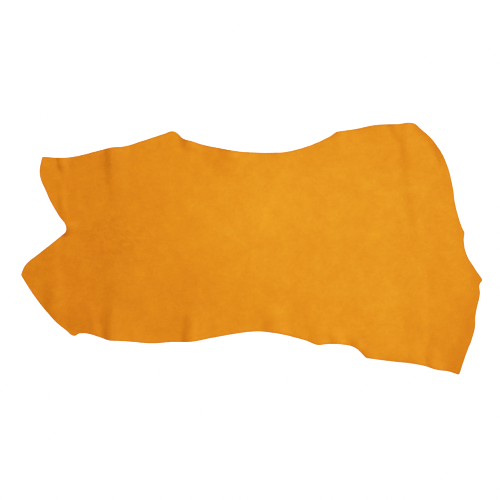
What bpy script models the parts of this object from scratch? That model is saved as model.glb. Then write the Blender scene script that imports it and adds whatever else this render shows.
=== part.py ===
"""A whole leather hide, tanned and trimmed, spread on a flat surface with its grain side up.

The hide is one thin sheet of one piece. Its hind end, with two shanks and the tail notch between
them, points to -X, and its neck and fore shanks point to +X. The origin is the middle of its
underside, on the surface that it lies on.

The trimmed edge is a closed Bezier curve through its landmarks. The sheet is a triangle mesh inside
that curve, lifted off the surface along each ripple, and a Solidify modifier gives it thickness.
"""
from collections import namedtuple

import bpy
from mathutils import Vector
from mathutils.geometry import delaunay_2d_cdt, intersect_point_line

MM = 0.001

# Driving dimensions, in metres.
LENGTH = 1154 * MM          # hind shank to neck, along X
WIDTH = 630 * MM            # fore shank to fore shank, along Y
THICKNESS = 1.4 * MM

# How finely the sheet is divided, in metres.
EDGE_STEP = 6 * MM          # between points of the trimmed edge
RIPPLE_STEP = 15 * MM       # between rows of points along a ripple
FLAT_STEP = 32 * MM         # between points where the sheet lies flat
CURVE_STEPS = 12            # straight bits in each span of the outline curve

# Across a ripple, points stand at these parts of its reach, on both sides of the crest.
ROW_PLACES = (-1.0, -0.65, -0.35, 0.0, 0.35, 0.65, 1.0)

# The trimmed edge, clockwise from the upper hind shank, in millimetres from the middle.
# The curve passes smoothly through a round point and turns sharply at a corner.
ROUND, CORNER = "AUTO", "VECTOR"
Landmark = namedtuple("Landmark", "x y turn")
OUTLINE = [Landmark(*row) for row in (
    # upper hind shank and flank
    (-524, 229, CORNER), (-462, 227, ROUND), (-379, 245, ROUND), (-354, 251, ROUND),
    (-317, 255, ROUND), (-272, 269, ROUND), (-217, 287, ROUND), (-198, 293, ROUND),
    (-185, 287, ROUND), (-172, 274, ROUND), (-150, 268, ROUND),
    # upper waist
    (-129, 261, ROUND), (-80, 250, ROUND), (-33, 242, ROUND), (0, 240, ROUND),
    (52, 239, ROUND), (96, 243, ROUND), (196, 280, ROUND),
    # upper fore shank
    (211, 291, CORNER), (258, 298, ROUND), (308, 308, ROUND), (371, 311, ROUND),
    (396, 314, ROUND), (406, 312, ROUND), (420, 300, ROUND), (447, 276, ROUND),
    # neck
    (460, 260, ROUND), (483, 221, ROUND), (501, 161, ROUND), (509, 109, ROUND),
    (522, 62, ROUND), (532, 39, CORNER), (530, 19, ROUND), (538, -17, ROUND),
    (555, -46, ROUND), (577, -79, CORNER), (569, -89, ROUND), (570, -111, ROUND),
    # lower fore shank
    (561, -154, ROUND), (558, -172, ROUND), (558, -190, ROUND), (552, -217, ROUND),
    (535, -262, ROUND), (517, -315, CORNER), (493, -307, ROUND), (464, -303, ROUND),
    (434, -294, ROUND), (400, -287, ROUND), (345, -281, ROUND), (285, -273, CORNER),
    (275, -262, ROUND), (259, -248, ROUND),
    # lower waist
    (228, -240, ROUND), (184, -239, ROUND), (167, -241, ROUND), (133, -229, ROUND),
    (34, -208, ROUND), (-2, -208, ROUND), (-42, -213, ROUND), (-104, -224, ROUND),
    # lower flank and hind shank
    (-148, -232, ROUND), (-206, -234, ROUND), (-250, -237, ROUND), (-297, -233, ROUND),
    (-342, -230, ROUND), (-357, -229, ROUND), (-372, -224, ROUND), (-414, -212, ROUND),
    (-433, -212, CORNER), (-440, -218, ROUND), (-449, -217, ROUND), (-464, -204, ROUND),
    (-484, -188, ROUND), (-502, -169, ROUND), (-530, -137, ROUND), (-568, -81, ROUND),
    (-577, -66, CORNER), (-567, -43, ROUND),
    # tail notch
    (-536, -16, ROUND), (-504, 9, ROUND), (-471, 36, ROUND), (-464, 42, CORNER),
    (-463, 54, ROUND), (-481, 80, ROUND), (-504, 120, ROUND), (-514, 142, ROUND),
    (-530, 186, ROUND),
)]

# The main ripples, in millimetres. Each crest runs through its points. The bump reaches so far to the
# left and to the right of the crest, as one walks along it; each reach is given at the first and the
# last point. The heights stand at even stations from end to end.
Ripple = namedtuple("Ripple", "name crest left right heights")
RIPPLES = [Ripple(*row) for row in (
    # hind shanks and tail notch
    ("upper shank nick", ((-480, 240), (-478, 215), (-475, 188)), (30, 16), (12, 9), (3.6, 2.8, 0.0)),
    ("upper shank crease", ((-476, 182), (-474, 122), (-468, 78)), (14, 15), (16, 16), (0.0, 1.1, 1.4, 0.4)),
    ("notch curl", ((-484, 54), (-452, 56), (-428, 60)), (13, 18), (28, 20), (4.6, 3.4, 0.0)),
    ("lower shank ripple", ((-496, -190), (-493, -110), (-484, -40), (-474, 24)), (26, 44), (36, 38),
     (4.2, 3.8, 2.0, 1.3, 0.0)),
    ("lower shank edge", ((-496, -132), (-456, -164), (-417, -172), (-380, -184)), (84, 60), (46, 38),
     (0.0, 3.6, 3.2, 0.0)),
    # flanks
    ("upper flank", ((-348, 262), (-348, 215), (-345, 180), (-341, 140), (-336, 92)), (48, 46), (25, 27),
     (4.4, 4.3, 3.7, 1.3, 0.0)),
    ("lower flank", ((-351, -242), (-348, -180), (-337, -130), (-334, -80), (-334, -10)), (31, 42), (86, 84),
     (4.8, 4.2, 2.6, 1.3, 0.0)),
    # hip, waist and belly
    ("hip", ((-160, 290), (-157, 262), (-154, 238)), (28, 24), (26, 22), (5.0, 3.6, 0.0)),
    ("upper waist", ((-58, 260), (-62, 236), (-70, 212)), (30, 26), (30, 24), (4.0, 2.2, 0.0)),
    ("upper waist swell", ((-52, 262), (-72, 226), (-106, 194)), (80, 64), (72, 56), (5.4, 4.2, 0.0)),
    ("belly swell", ((-152, -244), (-149, -180), (-146, -90)), (64, 60), (60, 60), (2.2, 2.0, 0.0)),
    ("belly", ((-149, -244), (-146, -190), (-144, -140), (-143, -96)), (34, 28), (44, 40),
     (4.8, 3.4, 1.2, 0.0)),
    ("lower waist", ((61, -216), (52, -176), (32, -140)), (32, 34), (42, 40), (4.8, 3.0, 0.0)),
    ("belly corner", ((167, -252), (162, -214), (150, -180)), (26, 22), (34, 30), (2.8, 1.8, 0.0)),
    ("belly edge", ((214, -254), (211, -226), (204, -200)), (22, 18), (26, 22), (3.4, 2.4, 0.0)),
    # shoulder and fore shanks
    ("shoulder corner", ((220, 300), (212, 250), (200, 206)), (70, 50), (54, 50), (3.6, 2.4, 0.0)),
    ("shoulder edge", ((232, 312), (280, 324), (350, 330)), (20, 20), (36, 34), (1.0, 3.2, 1.4)),
    ("upper fore shank nick", ((347, 325), (360, 290), (380, 262)), (26, 20), (18, 14), (2.6, 1.4, 0.0)),
    ("shoulder fold", ((386, 300), (392, 246), (397, 200), (402, 160), (405, 120), (413, 70), (417, -10)),
     (70, 60), (28, 26), (1.6, 2.7, 2.0, 1.7, 1.1, 1.1, 0.0)),
    ("neck curl", ((421, 305), (454, 277), (477, 247), (495, 202), (505, 150)), (20, 20), (24, 26),
     (1.4, 2.0, 2.6, 0.8, 0.4)),
    ("neck fold", ((414, 44), (418, -54), (420, -160), (426, -214), (420, -244), (414, -292)),
     (28, 18), (90, 28), (0.0, 0.3, 0.9, 1.4, 2.0, 1.4)),
    ("fore shank curl", ((590, -50), (586, -104), (582, -160), (573, -210), (560, -250), (542, -320)),
     (30, 30), (44, 72), (4.5, 3.2, 4.2, 6.8, 9.0, 9.6)),
    ("armpit", ((311, -284), (286, -240), (260, -206)), (30, 26), (104, 70), (4.2, 3.4, 1.0, 0.0)),
)]


def clear_scene():
    for scene_object in list(bpy.data.objects):
        bpy.data.objects.remove(scene_object, do_unlink=True)


def new_collection(name):
    collection = bpy.data.collections.new(name)
    bpy.context.scene.collection.children.link(collection)
    return collection


def leather_material():
    """Vegetable-tanned leather in an orange tan, dry and softly dull."""
    material = bpy.data.materials.new("orange_tan_leather")
    material.use_nodes = True
    shader = material.node_tree.nodes["Principled BSDF"]
    shader.inputs["Base Color"].default_value = (0.74, 0.27, 0.02, 1.0)
    shader.inputs["Roughness"].default_value = 0.6
    shader.inputs["Metallic"].default_value = 0.0
    return material


def outline_curve(collection):
    """The trimmed edge as a closed Bezier curve, kept as a guide in the finished file."""
    curve = bpy.data.curves.new("trimmed_edge", "CURVE")
    curve.dimensions = "3D"
    curve.resolution_u = CURVE_STEPS
    spline = curve.splines.new("BEZIER")
    spline.use_cyclic_u = True
    spline.bezier_points.add(len(OUTLINE) - 1)
    for point, mark in zip(spline.bezier_points, OUTLINE):
        point.co = (mark.x * MM, mark.y * MM, 0.0)
        point.handle_left_type = point.handle_right_type = mark.turn
    guide = bpy.data.objects.new("trimmed_edge", curve)
    guide.hide_render = True
    guide.display_type = "WIRE"
    collection.objects.link(guide)
    return guide


def curve_points(guide):
    """The curve's own points in order, stretched so that their box is LENGTH by WIDTH."""
    bpy.context.view_layer.update()
    mesh = bpy.data.meshes.new_from_object(guide.evaluated_get(bpy.context.evaluated_depsgraph_get()))
    points = [vertex.co.to_2d() for vertex in mesh.vertices]
    bpy.data.meshes.remove(mesh)
    low = Vector((min(p.x for p in points), min(p.y for p in points)))
    high = Vector((max(p.x for p in points), max(p.y for p in points)))
    middle = (low + high) / 2
    stretch = Vector((LENGTH / (high.x - low.x), WIDTH / (high.y - low.y)))
    return [(p - middle) * stretch for p in points]


def even_edge(points):
    """Points at an even step round the edge, with every corner kept."""
    corner_at = [i * CURVE_STEPS for i, mark in enumerate(OUTLINE) if mark.turn == CORNER]
    edge = []
    for start, end in zip(corner_at, corner_at[1:] + [corner_at[0] + len(points)]):
        run = [points[i % len(points)] for i in range(start, end + 1)]
        length = sum((b - a).length for a, b in zip(run, run[1:]))
        count = max(1, round(length / EDGE_STEP))
        edge += [point_along(run, length * k / count)[0] for k in range(count)]
    return edge


def point_along(run, distance):
    """The place at a distance along a run of points, and the direction of the run there."""
    for a, b in zip(run, run[1:]):
        bit = (b - a).length
        if distance <= bit:
            break
        distance -= bit
    direction = (b - a).normalized()
    return a + direction * distance, direction


def crest_points(ripple):
    return [Vector(point) * MM for point in ripple.crest]


def run_length(run):
    return sum((b - a).length for a, b in zip(run, run[1:]))


def soft_step(t):
    return t * t * (3 - 2 * t)


def between(pair, t):
    return pair[0] + (pair[1] - pair[0]) * t


def station_height(heights, along):
    """A crest's height at a part of its length, eased from one station to the next."""
    at = along * (len(heights) - 1)
    first = min(int(at), len(heights) - 2)
    return between((heights[first], heights[first + 1]), soft_step(at - first))


def ripple_height(ripple, place):
    """How far one ripple lifts the sheet at a place, a smooth bump across its crest."""
    run = crest_points(ripple)
    nearest, walked, before, is_left = None, 0.0, 0.0, False
    for a, b in zip(run, run[1:]):
        foot, part = intersect_point_line(place, a, b)
        part = min(1.0, max(0.0, part))
        gap = (place - a.lerp(b, part)).length
        if nearest is None or gap < nearest:
            nearest, walked = gap, before + part * (b - a).length
            is_left = (b - a).cross(place - a) > 0.0
        before += (b - a).length
    along = walked / before
    across = nearest / (between(ripple.left if is_left else ripple.right, along) * MM)
    if across >= 1.0:
        return 0.0
    return station_height(ripple.heights, along) * MM * (1 - across * across) ** 2


def sheet_height(place):
    return sum(ripple_height(ripple, place) for ripple in RIPPLES)


def is_inside(place, edge):
    """Whether a place lies inside the closed edge, by counting crossings to its right."""
    inside = False
    for a, b in zip(edge, edge[1:] + edge[:1]):
        if (a.y > place.y) != (b.y > place.y):
            if place.x < a.x + (place.y - a.y) * (b.x - a.x) / (b.y - a.y):
                inside = not inside
    return inside


def ripple_rows():
    """Rows of points across every ripple, close together where the sheet bends."""
    for ripple in RIPPLES:
        run = crest_points(ripple)
        whole = run_length(run)
        rows = max(2, round(whole / RIPPLE_STEP))
        for row in range(rows + 1):
            crest, direction = point_along(run, min(whole * row / rows, whole * 0.9999))
            to_left = Vector((-direction.y, direction.x))
            for place in ROW_PLACES:
                reach = between(ripple.left if place > 0 else ripple.right, row / rows) * MM
                yield crest + to_left * reach * place, reach * 0.22


def flat_grid():
    """A staggered grid over the whole hide, for where nothing bends."""
    row_gap = FLAT_STEP * 0.866
    rows = int(WIDTH / row_gap) + 1
    columns = int(LENGTH / FLAT_STEP) + 1
    for row in range(rows + 1):
        for column in range(columns + 1):
            x = (column + 0.5 * (row % 2)) * FLAT_STEP - LENGTH / 2
            yield Vector((x, row * row_gap - WIDTH / 2)), FLAT_STEP * 0.55


def inner_points(edge):
    """Points inside the edge: ripple rows first, then the grid wherever there is still room."""
    kept = []
    for place, clear in list(ripple_rows()) + list(flat_grid()):
        if not is_inside(place, edge):
            continue
        if min((place - other).length for other in edge) < EDGE_STEP * 0.6:
            continue
        if kept and min((place - other).length for other in kept) < clear:
            continue
        kept.append(place)
    return kept


def sheet_mesh(edge):
    """The underside of the hide: triangles that fill the edge, lifted along the ripples."""
    places = edge + inner_points(edge)
    whole_edge = [list(range(len(edge)))]
    filled = delaunay_2d_cdt(places, [], whole_edge, 1, 0.01 * MM)
    flat_places, triangles = filled[0], filled[2]
    mesh = bpy.data.meshes.new("hide")
    mesh.from_pydata([(p.x, p.y, sheet_height(p)) for p in flat_places], [], triangles)
    mesh.validate()
    mesh.update()
    return mesh


def build_hide():
    guides = new_collection("guides")
    parts = new_collection("leather_hide")
    edge = even_edge(curve_points(outline_curve(guides)))
    hide = bpy.data.objects.new("hide", sheet_mesh(edge))
    parts.objects.link(hide)
    hide.data.materials.append(leather_material())
    hide.data.shade_smooth()
    hide.data.set_sharp_from_angle(angle=0.7)
    thickness = hide.modifiers.new("thickness", "SOLIDIFY")
    thickness.thickness = THICKNESS
    thickness.offset = 1.0          # grows up from the underside
    return hide


clear_scene()
build_hide()
bpy.context.view_layer.update()
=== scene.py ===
# %% [markdown]
# # A whole leather hide
# One small skin, tanned and dyed in an orange tan, lies on a table with its grain side up. Nothing
# is sewn or fitted to it, so the whole model is one thin sheet with three finishes: the smooth grain
# side, the napped flesh side and the raw cut edge between them.
# The frame holds the hide's rigid solid at its real size. Everything here is measured from it.

# %% Load the frame
from collections import namedtuple

import bmesh
import bpy
import numpy as np
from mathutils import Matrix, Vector, noise
from mathutils.geometry import delaunay_2d_cdt
from mathutils.kdtree import KDTree


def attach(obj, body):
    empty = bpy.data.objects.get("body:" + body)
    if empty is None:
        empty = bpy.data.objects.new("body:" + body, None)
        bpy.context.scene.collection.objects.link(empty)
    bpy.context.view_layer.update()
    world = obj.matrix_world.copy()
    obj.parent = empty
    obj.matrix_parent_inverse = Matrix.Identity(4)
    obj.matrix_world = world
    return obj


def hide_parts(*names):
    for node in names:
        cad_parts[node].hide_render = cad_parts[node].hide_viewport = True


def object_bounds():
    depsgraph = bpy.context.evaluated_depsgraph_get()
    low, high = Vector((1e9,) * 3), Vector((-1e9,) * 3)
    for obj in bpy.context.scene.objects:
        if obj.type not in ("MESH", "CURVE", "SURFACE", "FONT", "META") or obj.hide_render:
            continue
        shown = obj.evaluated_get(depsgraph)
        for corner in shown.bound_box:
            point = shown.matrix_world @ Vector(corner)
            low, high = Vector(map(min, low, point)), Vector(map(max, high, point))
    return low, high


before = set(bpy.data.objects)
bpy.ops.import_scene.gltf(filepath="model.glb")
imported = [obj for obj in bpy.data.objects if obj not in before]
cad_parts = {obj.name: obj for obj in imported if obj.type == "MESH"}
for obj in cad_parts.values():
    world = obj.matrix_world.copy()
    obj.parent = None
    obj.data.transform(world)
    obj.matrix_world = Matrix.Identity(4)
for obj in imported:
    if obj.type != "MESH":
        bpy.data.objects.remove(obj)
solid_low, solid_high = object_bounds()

MM = 0.001
solid_size = solid_high - solid_low
print("solid hide, mm:", [round(side / MM, 1) for side in solid_size])

# %% [markdown]
# ## The trimmed edge
# After tanning, the ragged border of a skin is trimmed with a knife, in long slightly wavy cuts.
# That line could be drawn again here as a curve, but then it could drift from the solid. So it is
# read from the solid instead: it is the ring of edges where the underside meets the thin side wall.

# %% Read the ring of edges from the solid
WELD = 0.01 * MM            # the imported mesh keeps its triangles apart, so they are joined first
UNDERSIDE = -0.6            # an underside face points down at least this much


def under_edge_ring(node):
    """The solid's lower border, as points in order."""
    solid = bmesh.new()
    solid.from_mesh(node.data)
    bmesh.ops.remove_doubles(solid, verts=solid.verts, dist=WELD)
    neighbours = {}
    for edge in solid.edges:
        below = [face.normal.z < UNDERSIDE for face in edge.link_faces]
        if len(below) == 2 and below[0] != below[1]:
            a, b = (tuple(vertex.co.xy) for vertex in edge.verts)
            neighbours.setdefault(a, []).append(b)
            neighbours.setdefault(b, []).append(a)
    solid.free()
    ring = [min(neighbours)]
    ahead = neighbours[ring[0]][0]
    while ahead != ring[0]:
        ring.append(ahead)
        one, other = neighbours[ahead]
        ahead = other if one == ring[-2] else one
    return np.array(ring)


ring = under_edge_ring(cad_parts["hide"])
print("points in the solid's border:", len(ring))

# %% [markdown]
# The solid's border has a point about every 6 mm. A finer one is made by walking along it in even
# steps, then easing it: each point moves half way towards its two neighbours, twice over. That rounds
# the corners as a knife does. Subdividing the solid would make more points too, but uneven ones.

# %% Refine the trimmed edge
EDGE_STEP = 2.5 * MM
EASING = 2                  # passes; more of them round the corners more


def even_steps(loop, step):
    """The same closed line, with its points at even steps."""
    whole = np.vstack([loop, loop[:1]])
    bits = np.linalg.norm(np.diff(whole, axis=0), axis=1)
    walked = np.concatenate([[0.0], np.cumsum(bits)])
    stations = np.linspace(0.0, walked[-1], round(walked[-1] / step), endpoint=False)
    return np.column_stack([np.interp(stations, walked, whole[:, axis]) for axis in (0, 1)])


def eased(loop, passes):
    for _ in range(passes):
        loop = (np.roll(loop, 1, axis=0) + 2 * loop + np.roll(loop, -1, axis=0)) / 4
    return loop


def signed_area(loop):
    ahead = np.roll(loop, -1, axis=0)
    return 0.5 * np.sum(loop[:, 0] * ahead[:, 1] - loop[:, 1] * ahead[:, 0])


trimmed = even_steps(ring, EDGE_STEP)
if signed_area(trimmed) < 0:
    trimmed = trimmed[::-1]
trimmed = eased(trimmed, EASING)
print("points in the trimmed edge:", len(trimmed))

# %% [markdown]
# A little smooth noise gives the line the wobble of the hand that held the knife. Then the edge is let
# out by a hair. A pixel that holds some leather and some bright floor comes out nearly as bright as
# the floor, so without that a sheet on a glowing floor looks slightly too small.

# %% Give the edge its wobble and let it out
WOBBLE = 0.35 * MM
WOBBLE_LENGTH = 16 * MM
WOBBLE_SEED = 3.1
LET_OUT = 0.65 * MM         # how far the sheet's edge stands outside the solid's


def inward(loop):
    """At each point, the unit direction into a closed line that runs anticlockwise."""
    along = np.roll(loop, -1, axis=0) - np.roll(loop, 1, axis=0)
    along /= np.linalg.norm(along, axis=1)[:, None]
    return np.column_stack([-along[:, 1], along[:, 0]])


def smooth_noise(places, wave, seed):
    """Noise between about -1 and 1 that changes over a distance of about wave."""
    return np.array([noise.noise((x / wave, y / wave, seed)) for x, y in places])


wobble = smooth_noise(trimmed, WOBBLE_LENGTH, WOBBLE_SEED) * WOBBLE
trimmed += inward(trimmed) * (wobble - LET_OUT)[:, None]

# %% [markdown]
# ## The ripples
# A dried hide never lies quite flat. Its border has stretched more than its middle, so it stands up
# in soft ripples that run in from the edge and fade. Cloth simulation could make some, but not these
# ones in these places. So each is listed: a crest line, how far it reaches to the left and
# right of the crest as one walks along it, and its height at even stations from end to end. A ripple
# is steep on its short side and gentle on its long side. These first ones are large, and the solid has
# them too.

# %% Main ripples, in millimetres
# The two numbers of a reach are for the crest's first and last point.
Ripple = namedtuple("Ripple", "name crest left right heights")
MAIN_RIPPLES = [Ripple(*row) for row in (
    # hind shanks and tail notch
    ("upper shank nick", ((-480, 240), (-478, 215), (-475, 188)), (30, 16), (12, 9), (3.6, 2.8, 0.0)),
    ("upper shank crease", ((-476, 182), (-474, 122), (-468, 78)), (14, 15), (16, 16),
     (0.0, 1.1, 1.4, 0.4)),
    ("notch curl", ((-484, 54), (-452, 56), (-428, 60)), (13, 18), (28, 20), (4.6, 3.4, 0.0)),
    ("lower shank ripple", ((-496, -190), (-493, -110), (-484, -40), (-474, 24)), (26, 44), (36, 38),
     (4.2, 3.8, 2.0, 1.3, 0.0)),
    ("lower shank edge", ((-496, -132), (-456, -164), (-417, -172), (-380, -184)), (84, 60), (46, 38),
     (0.0, 3.6, 3.2, 0.0)),
    # flanks
    ("upper flank", ((-348, 262), (-348, 215), (-345, 180), (-341, 140), (-336, 92)),
     (48, 46), (25, 27), (4.4, 4.3, 3.7, 1.3, 0.0)),
    ("lower flank", ((-351, -242), (-348, -180), (-337, -130), (-334, -80), (-334, -10)),
     (31, 42), (86, 84), (4.8, 4.2, 2.6, 1.3, 0.0)),
    # hip, waist and belly
    ("hip", ((-160, 290), (-157, 262), (-154, 238)), (28, 24), (26, 22), (5.0, 3.6, 0.0)),
    ("upper waist", ((-58, 260), (-62, 236), (-70, 212)), (30, 26), (30, 24), (4.0, 2.2, 0.0)),
    ("upper waist swell", ((-52, 262), (-72, 226), (-106, 194)), (80, 64), (72, 56), (5.4, 4.2, 0.0)),
    ("belly swell", ((-152, -244), (-149, -180), (-146, -90)), (64, 60), (60, 60), (2.2, 2.0, 0.0)),
    ("belly", ((-149, -244), (-146, -190), (-144, -140), (-143, -96)), (34, 28), (44, 40),
     (4.8, 3.4, 1.2, 0.0)),
    ("lower waist", ((61, -216), (52, -176), (32, -140)), (32, 34), (42, 40), (4.8, 3.0, 0.0)),
    ("belly corner", ((167, -252), (162, -214), (150, -180)), (26, 22), (34, 30), (2.8, 1.8, 0.0)),
    ("belly edge", ((214, -254), (211, -226), (204, -200)), (22, 18), (26, 22), (3.4, 2.4, 0.0)),
    # shoulder and fore shanks
    ("shoulder corner", ((220, 300), (212, 250), (200, 206)), (70, 50), (54, 50), (3.6, 2.4, 0.0)),
    ("shoulder edge", ((232, 312), (280, 324), (350, 330)), (20, 20), (36, 34), (1.0, 3.2, 1.4)),
    ("upper fore shank nick", ((347, 325), (360, 290), (380, 262)), (26, 20), (18, 14), (2.6, 1.4, 0.0)),
    ("shoulder fold",
     ((386, 300), (392, 246), (397, 200), (402, 160), (405, 120), (413, 70), (417, -10)),
     (70, 60), (28, 26), (1.6, 2.7, 2.0, 1.7, 1.1, 1.1, 0.0)),
    ("neck curl", ((421, 305), (454, 277), (477, 247), (495, 202), (505, 150)), (20, 20), (24, 26),
     (1.4, 2.0, 2.6, 0.8, 0.4)),
    ("neck fold", ((414, 44), (418, -54), (420, -160), (426, -214), (420, -244), (414, -292)),
     (28, 18), (90, 28), (0.0, 0.3, 0.9, 1.4, 2.0, 1.4)),
    ("fore shank curl", ((590, -50), (586, -104), (582, -160), (573, -210), (560, -250), (542, -320)),
     (30, 30), (44, 72), (4.5, 3.2, 4.2, 6.8, 9.0, 9.6)),
    ("armpit", ((311, -284), (286, -240), (260, -206)), (30, 26), (104, 70), (4.2, 3.4, 1.0, 0.0)),
)]

print("main ripples:", len(MAIN_RIPPLES))

# %% [markdown]
# Thin leather also holds small creases: the sharp lip of a ripple where it meets the edge, or a tuck
# beside it. They are too fine for the solid, so only this sheet has them. Each is one more ripple with
# a short reach, added on top of the main ones. A bump map could draw them without any geometry, but
# then they would vanish from a low view.

# %% Small creases, in millimetres
SMALL_CREASES = [Ripple(*row) for row in (
    # hind shanks and flanks
    ("shank nick tail", ((-473, 206), (-467, 178)), (16, 12), (9, 8), (1.3, 0.0)),
    ("upper shank streak", ((-474, 138), (-473, 112), (-469, 84)), (12, 12), (12, 12), (0.0, 1.1, 0.0)),
    ("notch lip", ((-476, 57), (-460, 60), (-446, 62)), (10, 10), (18, 16), (1.6, 1.3, 0.0)),
    ("lower shank lip", ((-496, -160), (-497, -90), (-499, -30), (-494, 16)), (42, 38), (26, 24),
     (0.0, 1.0, 1.3, 0.8)),
    ("lower shank pinch", ((-490, -108), (-488, -94), (-489, -80)), (12, 12), (20, 20),
     (0.0, 0.8, 0.0)),
    ("lower shank crease", ((-388, -218), (-397, -176), (-412, -144)), (17, 14), (18, 16),
     (1.7, 1.3, 0.0)),
    ("upper flank lip", ((-349, 262), (-347, 224), (-341, 186)), (84, 30), (22, 18), (1.7, 1.6, 0.0)),
    ("lower flank lip", ((-351, -242), (-348, -180), (-339, -124)), (22, 20), (28, 26),
     (2.4, 1.6, 0.0)),
    ("lower flank tail", ((-292, -240), (-293, -205), (-295, -170)), (15, 13), (34, 28),
     (1.2, 0.9, 0.0)),
    # hip, waist and belly
    ("hip lip", ((-157, 278), (-156, 252)), (14, 12), (20, 14), (1.8, 0.0)),
    ("upper waist lip", ((-46, 262), (-53, 238), (-64, 214)), (32, 26), (24, 18), (2.0, 1.2, 0.0)),
    ("upper edge nick", ((66, 240), (64, 222)), (20, 16), (22, 18), (1.6, 0.0)),
    ("belly lip", ((-153, -246), (-151, -200), (-149, -150)), (26, 18), (22, 18), (3.4, 1.8, 0.0)),
    ("belly corner lip", ((172, -252), (168, -220)), (14, 12), (16, 12), (1.3, 0.0)),
    ("belly swell behind", ((-94, -240), (-98, -190), (-100, -150)), (56, 50), (46, 44),
     (1.6, 1.0, 0.0)),
    # shoulder and fore shanks
    ("fore shank nick lip", ((354, 324), (362, 298), (373, 272)), (14, 12), (16, 12), (1.5, 1.0, 0.0)),
    ("shoulder corner lip", ((222, 302), (218, 264), (214, 236)), (16, 14), (26, 20), (1.6, 1.0, 0.0)),
    ("fold lip", ((383, 306), (386, 258), (395, 190), (402, 140), (410, 88), (417, 34)), (24, 12),
     (20, 16), (1.7, 0.8, 0.1, 0.5, 0.6, 0.2)),
    ("neck curl lip", ((424, 308), (452, 280), (472, 250), (489, 212)), (10, 10), (22, 18),
     (1.6, 1.3, 1.2, 0.0)),
    ("neck tuck", ((440, -246), (446, -275), (456, -302)), (30, 34), (14, 14), (0.0, 1.6, 2.4)),
    ("fore shank swell", ((392, -186), (392, -240), (388, -292)), (34, 34), (48, 48), (0.0, 1.6, 1.4)),
    ("fore shank ridge", ((300, -252), (346, -259), (398, -270), (442, -282)), (50, 40), (36, 20),
     (0.0, 2.6, 2.2, 0.0)),
    ("armpit lip", ((268, -262), (262, -236), (256, -212)), (20, 16), (24, 20), (3.0, 1.8, 0.0)),
    ("armpit corner", ((298, -290), (291, -262), (286, -238)), (20, 15), (32, 26), (2.6, 1.5, 0.0)),
)]
print("small creases:", len(SMALL_CREASES))

# %% [markdown]
# A ripple lifts every place within its reach. For each place the nearest point of the crest line is
# found: how far along it is gives the ripple's height there, and how far away it is gives the share of
# that height. The share follows a smooth bell, (1 - x * x) squared, that is level at the crest and at
# the end of the reach, so no line shows where a ripple starts.

# %% How a ripple lifts the sheet
def along_and_across(crest, places):
    """For each place: how far along the crest its nearest point is, from 0 to 1, its distance from
    the crest, and whether it is on the left."""
    bits = np.diff(crest, axis=0)
    lengths = np.linalg.norm(bits, axis=1)
    distance = np.full(len(places), np.inf)
    walked = np.zeros(len(places))
    is_left = np.zeros(len(places), bool)
    for start, bit, length, before in zip(crest, bits, lengths, np.cumsum(lengths) - lengths):
        direction = bit / length
        offset = places - start
        part = np.clip(offset @ direction, 0.0, length)
        gap = np.linalg.norm(offset - part[:, None] * direction, axis=1)
        nearer = gap < distance
        distance[nearer] = gap[nearer]
        walked[nearer] = before + part[nearer]
        side = direction[0] * offset[:, 1] - direction[1] * offset[:, 0]
        is_left[nearer] = side[nearer] > 0
    return walked / lengths.sum(), distance, is_left


def station_heights(heights, along):
    """The crest's height at each place along it, eased from one station to the next."""
    station = along * (len(heights) - 1)
    first = np.minimum(station.astype(int), len(heights) - 2)
    part = station - first
    part = part * part * (3 - 2 * part)
    levels = np.array(heights, float)
    return levels[first] + (levels[first + 1] - levels[first]) * part


def ripple_lift(ripple, places):
    """How far one ripple lifts each place: a smooth bump across its crest."""
    along, distance, is_left = along_and_across(np.array(ripple.crest) * MM, places)
    left, right = (pair[0] + (pair[1] - pair[0]) * along for pair in (ripple.left, ripple.right))
    across = distance / (np.where(is_left, left, right) * MM)
    bump = np.clip(1 - across * across, 0.0, None) ** 2
    return station_heights(ripple.heights, along) * MM * bump


def highest_lift(ripples):
    """The greatest height, in millimetres, that any of the crests is given."""
    return max(max(ripple.heights) for ripple in ripples)


print("highest main ripple, mm:", highest_lift(MAIN_RIPPLES))
print("highest small crease, mm:", highest_lift(SMALL_CREASES))

# %% [markdown]
# Between the ripples the skin still isn't a plate: it swells and sags by less than a millimetre, with
# the bones and muscles that it once lay on. Two smooth noises of different lengths give that. Only
# their upward part counts, because the table holds the rest flat.

# %% Swells between the ripples
Swell = namedtuple("Swell", "length height seed")
SWELLS = (
    Swell(110 * MM, 0.9 * MM, 11.0),
    Swell(46 * MM, 0.35 * MM, 23.0),
)


def underside_height(places):
    """How far the underside stands off the table at each place."""
    lift = sum(ripple_lift(ripple, places) for ripple in MAIN_RIPPLES + SMALL_CREASES)
    for swell in SWELLS:
        lift = lift + swell.height * np.clip(smooth_noise(places, swell.length, swell.seed), 0.0, None)
    return lift


print("swells of up to, mm:", [round(swell.height / MM, 2) for swell in SWELLS])

# %% [markdown]
# ## The sheet's mesh
# A hide has no weave and no straight threads, so a square grid would be an odd choice, and it would
# not follow the trimmed edge. Here the sheet is filled with points in a staggered grid, plus two rows
# just inside the edge, and joined into even triangles by a Delaunay triangulation.

# %% Points of the sheet
GRID_STEP = 3.75 * MM
EDGE_ROWS = (0.8 * MM, 2.6 * MM)
ROW_SLACK = 0.9             # a row's points that a sharp corner pushes closer to the edge are dropped
GRID_GAP = 0.6 * GRID_STEP  # between the inner row and the grid


def nearest_on_edge(places):
    """Which point of the trimmed edge is nearest to each place."""
    marks = KDTree(len(trimmed))
    for index, (x, y) in enumerate(trimmed):
        marks.insert((x, y, 0.0), index)
    marks.balance()
    return np.array([marks.find((x, y, 0.0))[1] for x, y in places])


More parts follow.
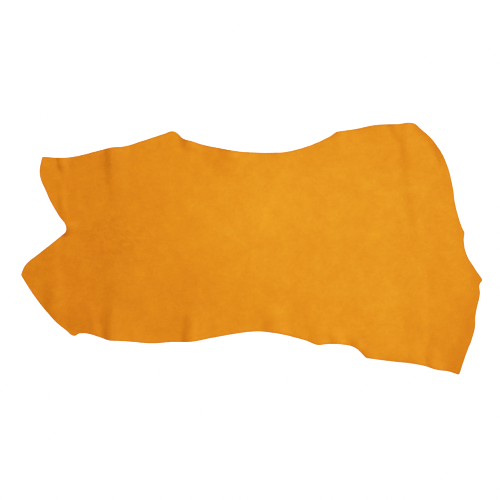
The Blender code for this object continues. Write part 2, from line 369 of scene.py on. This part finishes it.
def distance_inside(places):
    """How far each place is inside the trimmed edge, or a negative distance outside it."""
    nearest = nearest_on_edge(places)
    offset = places - trimmed[nearest]
    gaps = []
    for neighbour in (np.roll(trimmed, -1, axis=0), np.roll(trimmed, 1, axis=0)):
        bit = (neighbour - trimmed)[nearest]
        part = np.clip((offset * bit).sum(axis=1) / (bit ** 2).sum(axis=1), 0.0, 1.0)
        gaps.append(np.linalg.norm(offset - part[:, None] * bit, axis=1))
    is_inside = (offset * inward(trimmed)[nearest]).sum(axis=1) > 0
    return np.where(is_inside, 1, -1) * np.minimum(*gaps)


def staggered_grid(low, high, step):
    """Rows of points, every other row moved by half a step."""
    row_gap = step * np.sqrt(3) / 2
    rows = np.arange(low.y, high.y, row_gap)
    columns = np.arange(low.x, high.x, step)
    x, y = np.meshgrid(columns, rows)
    x[1::2] += step / 2
    return np.column_stack([x.ravel(), y.ravel()])


def sheet_places():
    """All points of the sheet: first the trimmed edge, then those inside it."""
    rows = [trimmed + inward(trimmed) * depth for depth in EDGE_ROWS]
    kept_rows = [
        row[distance_inside(row) > ROW_SLACK * depth] for row, depth in zip(rows, EDGE_ROWS)
    ]
    grid = staggered_grid(solid_low, solid_high, GRID_STEP)
    grid = grid[distance_inside(grid) > EDGE_ROWS[-1] + GRID_GAP]
    return np.vstack([trimmed, *kept_rows, grid])


places = sheet_places()
print("points in the sheet:", len(places))

# %% Join them into triangles and lift them
ONLY_INSIDE = 1             # the triangulation keeps what lies inside the border


def triangulated(places, border_count):
    """Triangles that fill the border made by the first points. New points may be added at the end."""
    border = [list(range(border_count))]
    inputs = [Vector(place) for place in places.tolist()]
    filled = delaunay_2d_cdt(inputs, [], border, ONLY_INSIDE, WELD)
    return np.array([tuple(point) for point in filled[0]]), filled[2]


places, triangles = triangulated(places, len(trimmed))
from_edge = np.clip(distance_inside(places), 0.0, None)
lift = underside_height(places)
print(f"{len(triangles)} triangles, lifted up to {lift.max() / MM:.1f} mm")

# %% [markdown]
# ## Thickness and the three finishes
# Solidify turns the sheet into leather of a real thickness and gives the new underside and the rim
# their own material slots. Over most of the hide the leather has its full thickness. It thins near the
# edge, and a vertex group tells the modifier where. Bevel then softens the cut edge's two corners.
# The underside could be modelled as a second sheet, but then the two would have to be kept apart.

# %% Give the sheet its thickness
THICKNESS = 1.4 * MM
THINNEST = 0.72             # the share of the thickness that is left at the very edge
THINNING_REACH = 60 * MM
THICKNESS_LEVELS = 100      # steps of the vertex group, from the edge to the full thickness
CORNER_ROUNDING = 0.3 * MM
CORNER_STEPS = 2            # faces across a softened corner
CORNER_ANGLE = 1.0          # in radians; only the cut edge's corners turn more than this
GRAIN, FLESH, CUT_EDGE = 0, 1, 2


def sheet_object():
    mesh = bpy.data.meshes.new("leather_hide")
    mesh.from_pydata(np.column_stack([places, lift]).tolist(), [], triangles)
    mesh.update()
    sheet = bpy.data.objects.new("leather_hide", mesh)
    bpy.context.scene.collection.objects.link(sheet)
    return sheet


def thicken(sheet):
    body = sheet.vertex_groups.new(name="full_thickness")
    fullness = np.sqrt(np.clip(from_edge / THINNING_REACH, 0.0, 1.0))
    for level in range(THICKNESS_LEVELS + 1):
        here = np.flatnonzero(np.round(fullness * THICKNESS_LEVELS) == level)
        body.add(here.tolist(), level / THICKNESS_LEVELS, "REPLACE")
    solidify = sheet.modifiers.new("thickness", "SOLIDIFY")
    solidify.thickness = THICKNESS
    solidify.offset = 1.0
    solidify.vertex_group = body.name
    solidify.thickness_vertex_group = THINNEST
    solidify.material_offset = FLESH
    solidify.material_offset_rim = CUT_EDGE
    bevel = sheet.modifiers.new("softened_edge", "BEVEL")
    bevel.width = CORNER_ROUNDING
    bevel.segments = CORNER_STEPS
    bevel.limit_method = "ANGLE"
    bevel.angle_limit = CORNER_ANGLE


hide = sheet_object()
for slot_name in ("grain_side", "flesh_side", "cut_edge"):
    hide.data.materials.append(bpy.data.materials.new(slot_name))
thicken(hide)
print("materials:", hide.data.materials.keys(), "modifiers:", hide.modifiers.keys())

# %% [markdown]
# Modifiers only show what they would make. Here that becomes the mesh itself, because the map and the
# tones are laid out on it next. The vertex group has then done its work and goes. Smooth shading hides
# the triangles.

# %% Turn what the modifiers made into the mesh
def apply_modifiers(thing):
    """Replaces the object's mesh by what its modifiers make of it."""
    shown = thing.evaluated_get(bpy.context.evaluated_depsgraph_get())
    made = bpy.data.meshes.new_from_object(shown)
    thing.modifiers.clear()
    thing.data = made
    thing.vertex_groups.clear()


apply_modifiers(hide)
hide.data.shade_smooth()
faces_by_finish = np.zeros(len(hide.data.polygons), int)
hide.data.polygons.foreach_get("material_index", faces_by_finish)
triangle_count = sum(len(face.vertices) - 2 for face in hide.data.polygons)
print("faces of grain, flesh, edge:", np.bincount(faces_by_finish), "triangles:", triangle_count)

# %% [markdown]
# ## A map of the surface
# Patterns here are worked out from the place in the hide, so the renderer needs no map. A game engine
# does, when the patterns are turned into pictures. An automatic unwrap would give both sides the same
# room, so the map is laid out by hand: the grain side gets the most, then the flesh side, and the cut
# edge is one long strip.

# %% Areas of the map, and helpers to fill them
MapArea = namedtuple("MapArea", "low high")
GRAIN_AREA = MapArea((0.01, 0.45), (0.99, 0.985))
FLESH_AREA = MapArea((0.01, 0.06), (0.99, 0.42))
EDGE_AREA = MapArea((0.01, 0.01), (0.99, 0.04))
EDGE_ROOM = 1.1             # the edge's strip is this much taller than the leather is thick
MAP_NAME = "OFBake"
HALF_WAY = 0.5              # round the trimmed edge


def mesh_array(items, name, width, kind=float):
    values = np.zeros(len(items) * width, kind)
    items.foreach_get(name, values)
    return values.reshape(-1, width) if width > 1 else values


def laid_in(area, parts):
    """Parts from 0 to 1 in both directions, moved into one area of the map."""
    low, high = np.array(area.low), np.array(area.high)
    return low + parts * (high - low)


def round_edge(places):
    """How far round the trimmed edge each place is, from 0 to 1."""
    return nearest_on_edge(places) / len(trimmed)


def kept_together(walked, start):
    """The distance walked, put right in the faces that cross the strip's start."""
    past_end = np.where(start - walked > HALF_WAY, 1, 0)
    before_start = np.where(walked - start > HALF_WAY, 1, 0)
    return walked + past_end - before_start


print("map areas:", GRAIN_AREA, FLESH_AREA, EDGE_AREA)

# %% [markdown]
# The grain side is laid out as it is seen from above and the flesh side as it is seen from below, so
# neither is mirrored. Along the cut edge, the map goes round the hide in one direction, and up from
# the flesh side to the grain in the other.

# %% Lay out the map
def lay_out_map(mesh):
    """Gives each corner of each face its place on the map."""
    spots = mesh_array(mesh.vertices, "co", 3)
    corner_vertex = mesh_array(mesh.loops, "vertex_index", 1, int)
    face_size = mesh_array(mesh.polygons, "loop_total", 1, int)
    finish = np.repeat(mesh_array(mesh.polygons, "material_index", 1, int), face_size)
    first_corner = np.repeat(mesh_array(mesh.polygons, "loop_start", 1, int), face_size)
    low, high = spots.min(axis=0), spots.max(axis=0)
    across = ((spots - low) / (high - low))[corner_vertex]
    grain = laid_in(GRAIN_AREA, across[:, :2])
    flesh = laid_in(FLESH_AREA, np.column_stack([1 - across[:, 0], across[:, 1]]))
    walked = np.zeros(len(spots))
    on_rim = np.unique(corner_vertex[finish == CUT_EDGE])
    walked[on_rim] = round_edge(spots[on_rim, :2])
    walked = walked[corner_vertex]
    walked = kept_together(walked, walked[first_corner])
    up = (spots[:, 2] - underside_height(spots[:, :2])) / (THICKNESS * EDGE_ROOM)
    round_and_up = np.column_stack([walked, up[corner_vertex]])
    edge = laid_in(EDGE_AREA, np.clip(round_and_up, 0, 1))
    chosen = np.select([(finish == GRAIN)[:, None], (finish == FLESH)[:, None]], [grain, flesh], edge)
    layer = mesh.uv_layers.new(name=MAP_NAME)
    layer.uv.foreach_set("vector", chosen.astype(np.float32).ravel())


lay_out_map(hide.data)
print(f"corners placed on the map {MAP_NAME}: {len(hide.data.loops)}")

# %% [markdown]
# ## Lighter and darker patches
# The hide is darker and redder towards the hind end, the shanks and the lower belly, and lighter over
# the back and the shoulder. A few wide soft patches, listed below, give each point a depth of tone. A
# few small ones paint shade: under the notch curl, along the lifted lower neck and in the curled fore
# corner. A painted picture could do the same, but a patch can be moved or resized by changing one
# number.

# %% Patches of tone, in millimetres
Patch = namedtuple("Patch", "name centre reach amount")
PATCHES = (
    Patch("pale back", (30, 60), (260, 240), 0.15),
    Patch("pale shoulder", (330, 60), (300, 330), 0.14),
    Patch("pale upper side", (180, 210), (330, 120), 0.05),
    Patch("pale elbow", (270, -140), (190, 120), 0.06),
    Patch("pale spot on the shoulder", (355, -150), (45, 60), 0.08),
    Patch("pale spot on the back", (45, 95), (60, 90), 0.05),
    Patch("deep line of the back", (90, -5), (230, 60), -0.04),
    Patch("deep hind end", (-440, -30), (280, 420), -0.20),
    Patch("deep upper shank", (-400, 220), (150, 80), -0.08),
    Patch("deep lower shank", (-430, -170), (200, 110), -0.10),
    Patch("deep shank tip", (-545, -60), (50, 80), -0.08),
    Patch("deep spot on the rump", (-365, 15), (60, 90), -0.05),
    Patch("deep belly", (-160, -60), (80, 80), -0.05),
    Patch("deep lower belly", (-150, -160), (120, 110), -0.11),
    Patch("deep spot on the belly", (130, -145), (32, 34), -0.08),
    # painted shade: the lower neck and the fore corner are lifted and curled, and these three darken
    # them where they turn from the light
    Patch("deep lower neck", (490, -240), (90, 110), -0.06),
    Patch("deep edge of the lower neck", (548, -185), (44, 90), -0.08),
    Patch("deep fore corner", (508, -298), (42, 46), -0.05),
    # painted shade: a small dark spot on the lower side of the notch curl
    Patch("dark corner of the notch", (-466, 36), (10, 8), -0.35),
)
MIDDLE_TONE = 0.45
RUMP_LINES = Patch("fine lines behind the tail notch", (-330, 25), (150, 90), 0.38)
FADING = 2                  # at the end of its reach, a patch is down to about a seventh

print("patches of dye:", len(PATCHES))

# %% [markdown]
# The tone is written down at each point of the mesh, as an attribute that the leather's material
# reads. Two more attributes say where the fine lines behind the tail notch are, and how far each
# point is from the edge.

# %% Write the tone and the two other attributes
def patch_at(patch, places):
    offset = (places / MM - np.array(patch.centre)) / np.array(patch.reach)
    return patch.amount * np.exp(-FADING * (offset ** 2).sum(axis=1))


def tone_at(places):
    return MIDDLE_TONE + sum(patch_at(patch, places) for patch in PATCHES)


def write_attribute(mesh, name, values):
    layer = mesh.attributes.new(name, "FLOAT", "POINT")
    layer.data.foreach_set("value", values.astype(np.float32))


spots = mesh_array(hide.data.vertices, "co", 3)
tones = tone_at(spots[:, :2])
write_attribute(hide.data, "tone", tones)
write_attribute(hide.data, "rump_lines", patch_at(RUMP_LINES, spots[:, :2]))
write_attribute(hide.data, "edge_distance", np.clip(distance_inside(spots[:, :2]), 0.0, None))
print(f"tone from {tones.min():.2f} to {tones.max():.2f}")

# %% [markdown]
# ## Finishes made of nodes
# A finish is a small network of nodes: places go in, patterns are worked out from them, and a shader
# turns the patterns into colour and gloss. Clicking it together by hand would work too, but in a
# script the same few steps come back again and again. So each gets a helper with a short name.

# %% Helpers that add nodes
def cleared_tree(material):
    material.use_nodes = True
    material.node_tree.nodes.clear()
    return material.node_tree


def feed(tree, socket, value):
    """Gives an input a plain value, or links another node's output to it."""
    if isinstance(value, bpy.types.NodeSocket):
        tree.links.new(value, socket)
    else:
        socket.default_value = value


def add(tree, kind, **inputs):
    """A new node. Each input is given by its name: a plain value, or another node's output."""
    made = tree.nodes.new(kind)
    for name, value in inputs.items():
        feed(tree, made.inputs[name.replace("_", " ")], value)
    return made


def maths(tree, operation, a, b):
    made = tree.nodes.new("ShaderNodeMath")
    made.operation = operation
    for socket, value in zip(made.inputs, (a, b)):
        feed(tree, socket, value)
    return made.outputs[0]


print("finishes to dress:", hide.data.materials.keys())

# %% [markdown]
# A pattern starts from the place on the hide, which may first be stretched and turned, so that the
# pattern is drawn out one way. Noise then gives each place a value. Skin is cloudy from afar and
# speckled from close by, so a tone is several noises of different sizes on top of one another.

# %% Helpers for places and noises
def attribute(tree, name):
    made = tree.nodes.new("ShaderNodeAttribute")
    made.attribute_name = name
    return made.outputs["Fac"]


def place(tree):
    return tree.nodes.new("ShaderNodeTexCoord").outputs["Object"]


def drawn_out(tree, vector, longer, turn=0.0):
    """The place, for a pattern that is drawn out along each axis and then turned about Z."""
    made = add(tree, "ShaderNodeMapping", Vector=vector, Rotation=(0.0, 0.0, turn), Scale=longer)
    made.vector_type = "TEXTURE"
    return made.outputs["Vector"]


def cloud(tree, vector, size, detail=2.0):
    """Noise around zero, from about -0.5 to 0.5, with features of about one size in metres."""
    made = add(tree, "ShaderNodeTexNoise", Vector=vector, Scale=1.0 / size, Detail=detail)
    return maths(tree, "SUBTRACT", made.outputs["Fac"], 0.5)


def clouded(tree, tone, vector, clouds):
    """A tone with noises added to it. Each is given by its size and its share."""
    for size, share in clouds:
        tone = maths(tree, "ADD", tone, maths(tree, "MULTIPLY", cloud(tree, vector, size), share))
    return tone


# %% [markdown]
# Values become looks in two ways: a ramp turns them into colours, and a range turns them into another
# number, such as a roughness or the share of the painted shade along the edge.

# %% Helpers for colours, ranges and the last node
RAMP_MIDDLE = 0.5


def ramp(tree, factor, stops):
    made = add(tree, "ShaderNodeValToRGB", Fac=factor)
    elements = made.color_ramp.elements
    while len(elements) < len(stops):
        elements.new(1.0)
    for element, (position, colour) in zip(elements, stops):
        element.position = position
        element.color = (*colour, 1.0)
    return made.outputs["Color"]


def mixed(tree, factor, first, second):
    made = tree.nodes.new("ShaderNodeMix")
    made.data_type = "RGBA"
    for number, value in ((0, factor), (6, first), (7, second)):    # 6 and 7 take colours
        feed(tree, made.inputs[number], value)
    return made.outputs[2]


def ranged(tree, value, low, high, to_low, to_high):
    """A value from one range, moved into another one and held within it."""
    made = add(
        tree, "ShaderNodeMapRange", Value=value,
        From_Min=low, From_Max=high, To_Min=to_low, To_Max=to_high,
    )
    return made.outputs["Result"]


def finish_with(tree, shader):
    output = tree.nodes.new("ShaderNodeOutputMaterial")
    tree.links.new(shader.outputs["BSDF"], output.inputs["Surface"])


def report_finish(name):
    print(f"{name}: {len(bpy.data.materials[name].node_tree.nodes)} nodes")


# %% [markdown]
# ## The grain side
# The grain side is the outer skin: hair follicles and fine pebbles, dyed through and left dry. Its
# colour is one ramp from a deep to a light tan, because more dye makes leather both darker and
# redder. The position on the ramp is the tone attribute plus noises of several sizes: slow clouds and
# a mottle of a few millimetres. A picture of real leather would blur from close by; noises stay sharp.
# Behind the tail notch the skin is drawn into fine lines, which are one more noise, drawn out
# lengthwise. Just inside the edge a faint darker line is painted: painted shade of the rounded edge,
# with some dye gathered at the cut.

# %% Grain side
TAN_STOPS = (
    (0.0, (0.48, 0.145, 0.004)),
    (0.5, (0.745, 0.246, 0.008)),
    (1.0, (1.0, 0.375, 0.019)),
)
DYE_CLOUDS = ((60 * MM, 0.20), (24 * MM, 0.21))
MOTTLE = ((10 * MM, 0.175), (4 * MM, 0.28), (2 * MM, 0.12))
MOTTLE_STRETCH = (0.95, 0.78, 1.0)
RUMP_LINE_WIDTH = 5 * MM
RUMP_LINE_STRETCH = (3.2, 1.0, 1.0)
RUMP_LINE_TURN = -0.3       # in radians
# a darker band just inside the edge: painted shade of the rounded edge, and dye gathered at the cut
RIM_SHADE_AND_DYE = (0.52, 0.125, 0.002, 1.0)
RIM_SHADE_RISES = (0.8 * MM, 2.6 * MM)      # distances from the edge
RIM_SHADE_FADES = (3.0 * MM, 5.2 * MM)
RIM_SHADE_SHARE = 0.34
PEBBLE_SIZE = 1.8 * MM
PORE_SIZE = 0.7 * MM
WRINKLE_SIZE = 5 * MM
PEBBLE_RELIEF = 0.3         # beside 1 for the wrinkles
GRAIN_DEPTH = 0.3 * MM
POLISH_PATCH = 12 * MM
CLOUD_SPAN = (-0.3, 0.3)    # nearly all of a cloud lies between these
DULLNESS = (0.52, 0.68)     # the roughness of the most and the least handled patches


def dress_grain_side(material):
    tree = cleared_tree(material)
    spot = place(tree)
    tone = clouded(tree, attribute(tree, "tone"), spot, DYE_CLOUDS)
    tone = clouded(tree, tone, drawn_out(tree, spot, MOTTLE_STRETCH), MOTTLE)
    rump_spot = drawn_out(tree, spot, RUMP_LINE_STRETCH, RUMP_LINE_TURN)
    rump_lines = cloud(tree, rump_spot, RUMP_LINE_WIDTH)
    rump_lines = maths(tree, "MULTIPLY", rump_lines, attribute(tree, "rump_lines"))
    tone = maths(tree, "ADD", tone, rump_lines)
    colour = ramp(tree, tone, TAN_STOPS)
    # painted shade along the rounded edge, with dye gathered at the cut: a darker band just inside it
    from_rim = attribute(tree, "edge_distance")
    rising = ranged(tree, from_rim, *RIM_SHADE_RISES, 0.0, RIM_SHADE_SHARE)
    fading = ranged(tree, from_rim, *RIM_SHADE_FADES, 1.0, 0.0)
    colour = mixed(tree, maths(tree, "MULTIPLY", rising, fading), colour, RIM_SHADE_AND_DYE)
    pebbles = add(tree, "ShaderNodeTexVoronoi", Vector=spot, Scale=1.0 / PEBBLE_SIZE)
    grain = maths(tree, "ADD", pebbles.outputs["Distance"], cloud(tree, spot, PORE_SIZE))
    wrinkles = cloud(tree, spot, WRINKLE_SIZE, detail=3.0)
    relief = maths(tree, "ADD", maths(tree, "MULTIPLY", grain, PEBBLE_RELIEF), wrinkles)
    bump = add(tree, "ShaderNodeBump", Strength=0.6, Distance=GRAIN_DEPTH, Height=relief)
    roughness = ranged(tree, cloud(tree, spot, POLISH_PATCH), *CLOUD_SPAN, *DULLNESS)
    shader = add(
        tree, "ShaderNodeBsdfPrincipled", Base_Color=colour, Roughness=roughness,
        Normal=bump.outputs["Normal"], Specular_IOR_Level=0.05,
    )
    finish_with(tree, shader)


dress_grain_side(bpy.data.materials["grain_side"])
report_finish("grain_side")

# %% [markdown]
# ## The flesh side
# The flesh side lay against the animal. It is split and buffed to a short nap, so it is duller and
# paler, and it catches light at a low angle: that is what sheen is for. Its fibres could be made as
# hairs, but there would be far too many. Noise drawn out one way stands for the strokes of the
# buffing wheel.

# %% Flesh side
SUEDE_STOPS = (
    (0.0, (0.50, 0.19, 0.035)),
    (0.5, (0.63, 0.28, 0.065)),
    (1.0, (0.74, 0.38, 0.11)),
)
SUEDE_CLOUDS = ((70 * MM, 0.7),)
SUEDE_STROKES = ((16 * MM, 0.6),)
SUEDE_FLECKS = ((3 * MM, 0.5), (1.2 * MM, 0.35))
STROKE_STRETCH = (2.6, 1.0, 1.0)
STROKE_TURN = 0.5           # in radians
FIBRE_SIZE = 1.0 * MM
STROKE_WIDTH = 4 * MM
NAP_DEPTH = 0.3 * MM
NAP_TINT = (1.0, 0.82, 0.6, 1.0)


def dress_flesh_side(material):
    tree = cleared_tree(material)
    spot = place(tree)
    strokes = drawn_out(tree, spot, STROKE_STRETCH, STROKE_TURN)
    tone = clouded(tree, RAMP_MIDDLE, spot, SUEDE_CLOUDS)
    tone = clouded(tree, tone, strokes, SUEDE_STROKES)
    tone = clouded(tree, tone, spot, SUEDE_FLECKS)
    nap = maths(tree, "ADD", cloud(tree, spot, FIBRE_SIZE), cloud(tree, strokes, STROKE_WIDTH))
    bump = add(tree, "ShaderNodeBump", Strength=0.7, Distance=NAP_DEPTH, Height=nap)
    shader = add(
        tree, "ShaderNodeBsdfPrincipled", Base_Color=ramp(tree, tone, SUEDE_STOPS), Roughness=0.95,
        Normal=bump.outputs["Normal"], Specular_IOR_Level=0.15, Sheen_Weight=0.35, Sheen_Roughness=0.5,
        Sheen_Tint=NAP_TINT,
    )
    finish_with(tree, shader)


dress_flesh_side(bpy.data.materials["flesh_side"])
report_finish("flesh_side")

# %% [markdown]
# ## The cut edge
# The cut edge shows the core of the leather, a felt of fibres that the dye reached a little less. The
# fibres lie flat, so the noise that stands for them is pressed together from top to bottom. The edge
# is about a millimetre high, so single fibres would never be seen.

# %% Cut edge
CORE_STOPS = (
    (0.2, (0.42, 0.13, 0.012)),
    (0.8, (0.66, 0.27, 0.045)),
)
LAYER_STRETCH = (1.0, 1.0, 0.25)
CORE_FIBRES = 1.5 * MM
CORE_FRAY_SIZE = 0.6 * MM
CORE_DEPTH = 0.2 * MM


def dress_cut_edge(material):
    tree = cleared_tree(material)
    layers = drawn_out(tree, place(tree), LAYER_STRETCH)
    tone = maths(tree, "ADD", RAMP_MIDDLE, cloud(tree, layers, CORE_FIBRES))
    frayed = cloud(tree, layers, CORE_FRAY_SIZE)
    bump = add(tree, "ShaderNodeBump", Strength=0.6, Distance=CORE_DEPTH, Height=frayed)
    shader = add(
        tree, "ShaderNodeBsdfPrincipled", Base_Color=ramp(tree, tone, CORE_STOPS), Roughness=0.9,
        Normal=bump.outputs["Normal"], Specular_IOR_Level=0.15,
    )
    finish_with(tree, shader)


dress_cut_edge(bpy.data.materials["cut_edge"])
report_finish("cut_edge")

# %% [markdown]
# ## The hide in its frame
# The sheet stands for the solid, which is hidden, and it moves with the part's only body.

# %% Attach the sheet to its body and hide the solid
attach(hide, "root")
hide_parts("hide")

# %% [markdown]
# ## The floor
# The floor is plain and pale, a hair below the leather so that the two never fight for one place. It
# glows, as a light table does, so that it stays white under the lifted edges. A white floor under
# stronger lamps would be the other way, but then the leather's shadows would show beside it. Round
# it all stands a pale dome that only the camera sees, so that low views end in white too.

# %% Floor and surround
FLOOR_GLOW = 1.7            # well over white, so that no shadow shows on it
FLOOR_GREY = (0.12, 0.12, 0.12, 1.0)
FLOOR_DROP = 0.4 * MM
STUDIO_RADIUS = 6.0         # in metres
WHITE = (1.0, 1.0, 1.0, 1.0)


def pale_material():
    material = bpy.data.materials.new("pale_studio")
    tree = cleared_tree(material)
    shader = add(
        tree, "ShaderNodeBsdfPrincipled", Base_Color=FLOOR_GREY, Roughness=0.9,
        Specular_IOR_Level=0.1, Emission_Color=WHITE, Emission_Strength=FLOOR_GLOW,
    )
    finish_with(tree, shader)
    return material


def pale_studio(material):
    bpy.ops.mesh.primitive_plane_add(size=2 * STUDIO_RADIUS, location=(0.0, 0.0, -FLOOR_DROP))
    floor = bpy.context.object
    floor.name = "floor"
    bpy.ops.mesh.primitive_uv_sphere_add(radius=STUDIO_RADIUS)
    surround = bpy.context.object
    surround.name = "surround"
    surround.visible_diffuse = surround.visible_glossy = surround.visible_shadow = False
    for stage_piece in (floor, surround):
        stage_piece.data.materials.append(material)


pale_studio(pale_material())
print("floor, mm below the leather:", FLOOR_DROP / MM)

# %% [markdown]
# ## The light
# Low relief only shows when light comes from one side. The main light is large and soft and comes from
# the neck end, over the upper flank, so each ripple has a light side and a dark side. An even pale sky
# fills the rest. Two numbers set how strong they are: how bright a level white surface is, and how
# much of that comes from the main light.

# %% Light
KEY_AZIMUTH = np.radians(35)
KEY_HEIGHT = np.radians(50)
KEY_WIDTH = np.radians(25)  # how large the light looks from the table; larger is softer
KEY_SHARE = 0.85            # of all the light that falls on a level surface
WHOLE_LIGHT = 1.16          # how bright a level white surface is, before the tone curve


def soft_key():
    sun = bpy.data.lights.new("soft_key", "SUN")
    sun.angle = KEY_WIDTH
    sun.energy = float(WHOLE_LIGHT * KEY_SHARE * np.pi / np.sin(KEY_HEIGHT))
    key = bpy.data.objects.new("soft_key", sun)
    level = np.cos(KEY_HEIGHT)
    towards = Vector((
        level * np.cos(KEY_AZIMUTH), level * np.sin(KEY_AZIMUTH), np.sin(KEY_HEIGHT),
    ))
    key.rotation_mode = "QUATERNION"
    key.rotation_quaternion = towards.to_track_quat("Z", "Y")
    bpy.context.scene.collection.objects.link(key)


def even_sky():
    world = bpy.data.worlds.new("even_sky")
    bpy.context.scene.world = world
    world.use_nodes = True
    sky = world.node_tree.nodes["Background"]
    sky.inputs["Color"].default_value = WHITE
    sky.inputs["Strength"].default_value = WHOLE_LIGHT * (1 - KEY_SHARE)


soft_key()
even_sky()
print(f"main light {KEY_SHARE:.0%}, sky {1 - KEY_SHARE:.0%}")

# %% [markdown]
# ## The camera
# A camera doesn't record light in proportion. Its tone curve adds a little contrast to the middle
# tones and rolls off the bright ones. On orange leather red is bright and green is in the middle, so
# in a shadow green falls faster than red: shaded leather looks redder and not just darker.

# %% Tone curve, from the light at a point to how bright it is shown
TonePoint = namedtuple("TonePoint", "light shown")
TONE_CURVE = [TonePoint(*row) for row in (
    (0.0, 0.0), (0.2, 0.19), (0.3, 0.295), (0.5, 0.53), (0.7, 0.70), (0.85, 0.775), (0.96, 0.825),
    (1.2, 1.0),
)]
ALL_COLOURS = 3             # curves 0 to 2 are for red, green and blue alone


def camera_tones():
    view = bpy.context.scene.view_settings
    view.view_transform = "Standard"
    view.use_curve_mapping = True
    brightest = TONE_CURVE[-1].light
    view.curve_mapping.white_level = (brightest, brightest, brightest)
    view.curve_mapping.extend = "HORIZONTAL"
    curve = view.curve_mapping.curves[ALL_COLOURS]
    for mark in TONE_CURVE[1:-1]:
        curve.points.new(mark.light / brightest, mark.shown)
    view.curve_mapping.update()


camera_tones()
print("points on the tone curve:", len(TONE_CURVE))

# %% [markdown]
# A hide is measured and graded from straight above, so the camera looks straight down. Its height is
# worked out from the width of the table that the picture should take in. A long lens from high up
# keeps the lifted ripples from leaning outwards. The camera stands a few millimetres off the hide's
# middle, so the hide lies a little to the right and a little high in the picture.

# %% Camera
FRAME_WIDTH = 1.25          # what the picture takes in at the height of the table, in metres
LENS = 85.0                 # in millimetres, as is the sensor's width
SENSOR = 36.0
LOOKING_AT = (-4.4 * MM, -3.3 * MM)


def overhead_camera():
    camera_data = bpy.data.cameras.new("overhead")
    camera_data.lens = LENS
    camera_data.sensor_width = SENSOR
    camera = bpy.data.objects.new("overhead", camera_data)
    camera.location = (*LOOKING_AT, FRAME_WIDTH * LENS / SENSOR)
    bpy.context.scene.collection.objects.link(camera)
    bpy.context.scene.camera = camera


overhead_camera()
print("camera height, m:", round(bpy.context.scene.camera.location.z, 2))
